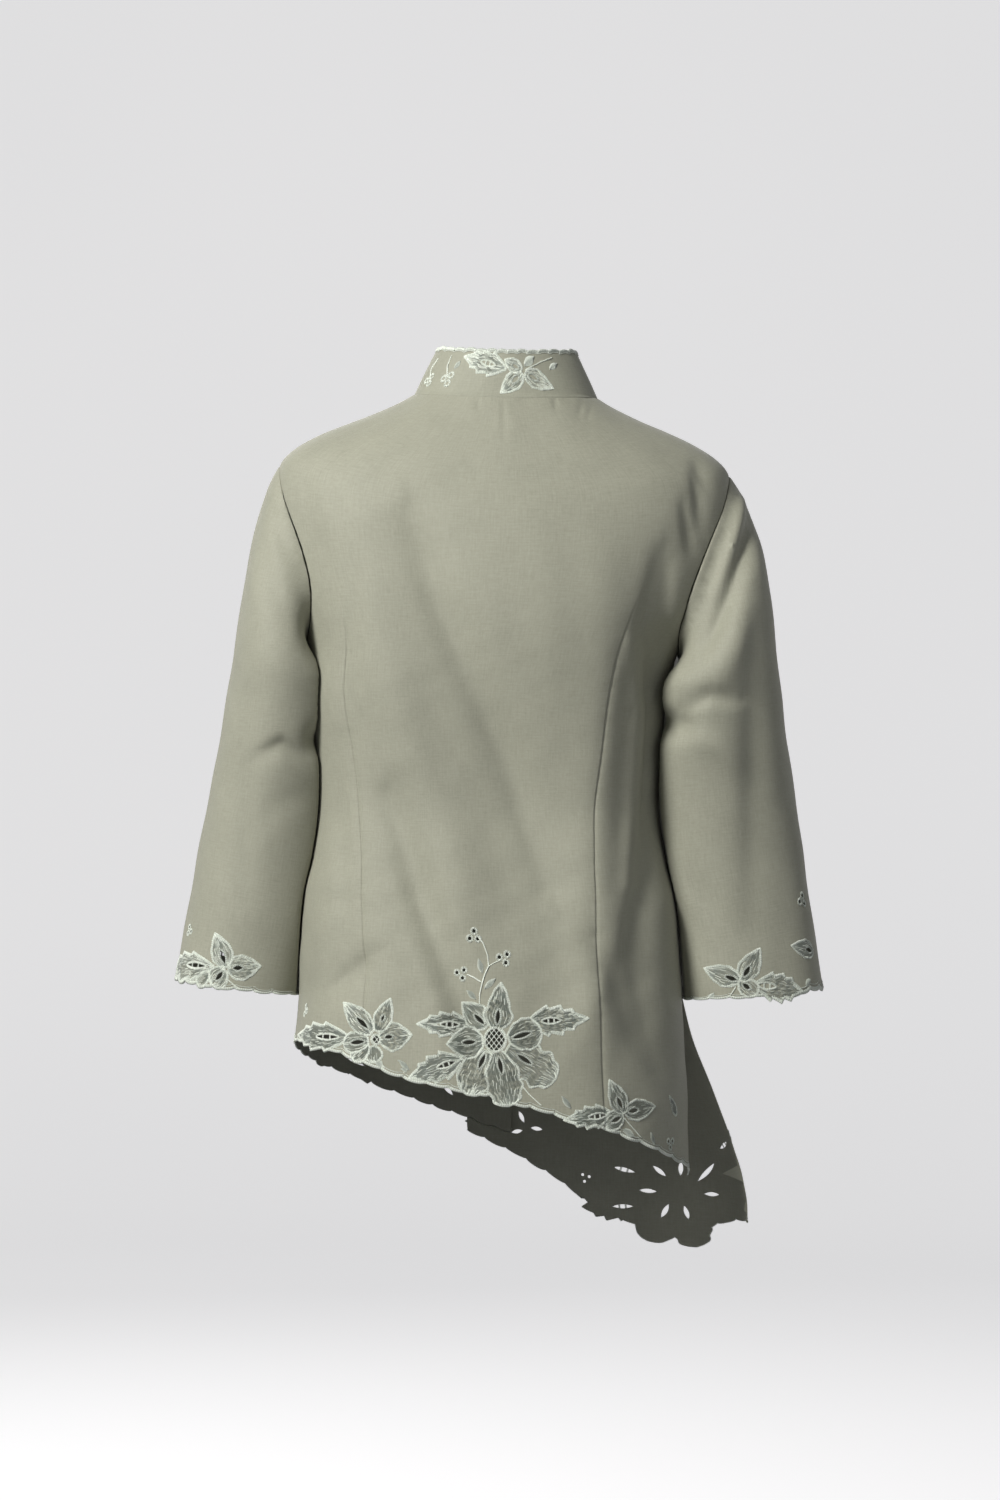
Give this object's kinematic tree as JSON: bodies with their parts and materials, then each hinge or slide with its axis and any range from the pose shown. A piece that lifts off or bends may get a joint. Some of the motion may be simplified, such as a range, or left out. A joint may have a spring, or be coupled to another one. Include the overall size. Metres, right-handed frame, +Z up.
{
  "type": "embroidered stand-collar jacket",
  "caption": "Worn woman's stand-collar jacket with set-in three-quarter sleeves, waist darts, a slanting scalloped hem and cutwork embroidery at collar, cuffs and hem.",
  "frame": {"origin": "on the neck's axis, level with the collar seam at the nape, where the wearer's neck and shoulders hold the jacket", "axes": "+Z up, the garment's front faces -Y, the wearer's left is +X"},
  "size_m": [0.5696, 0.2501, 0.7819],
  "materials": {
    "cloth": "sage cotton sateen, a soft even sheen",
    "collar_cloth": "the same sateen, stiffened"
  },
  "bodies": {
    "root": {"back": "cloth", "front_left": "cloth", "front_right": "cloth", "sleeve_left": "cloth", "sleeve_right": "cloth", "collar": "collar_cloth"}
  },
  "joints": []
}
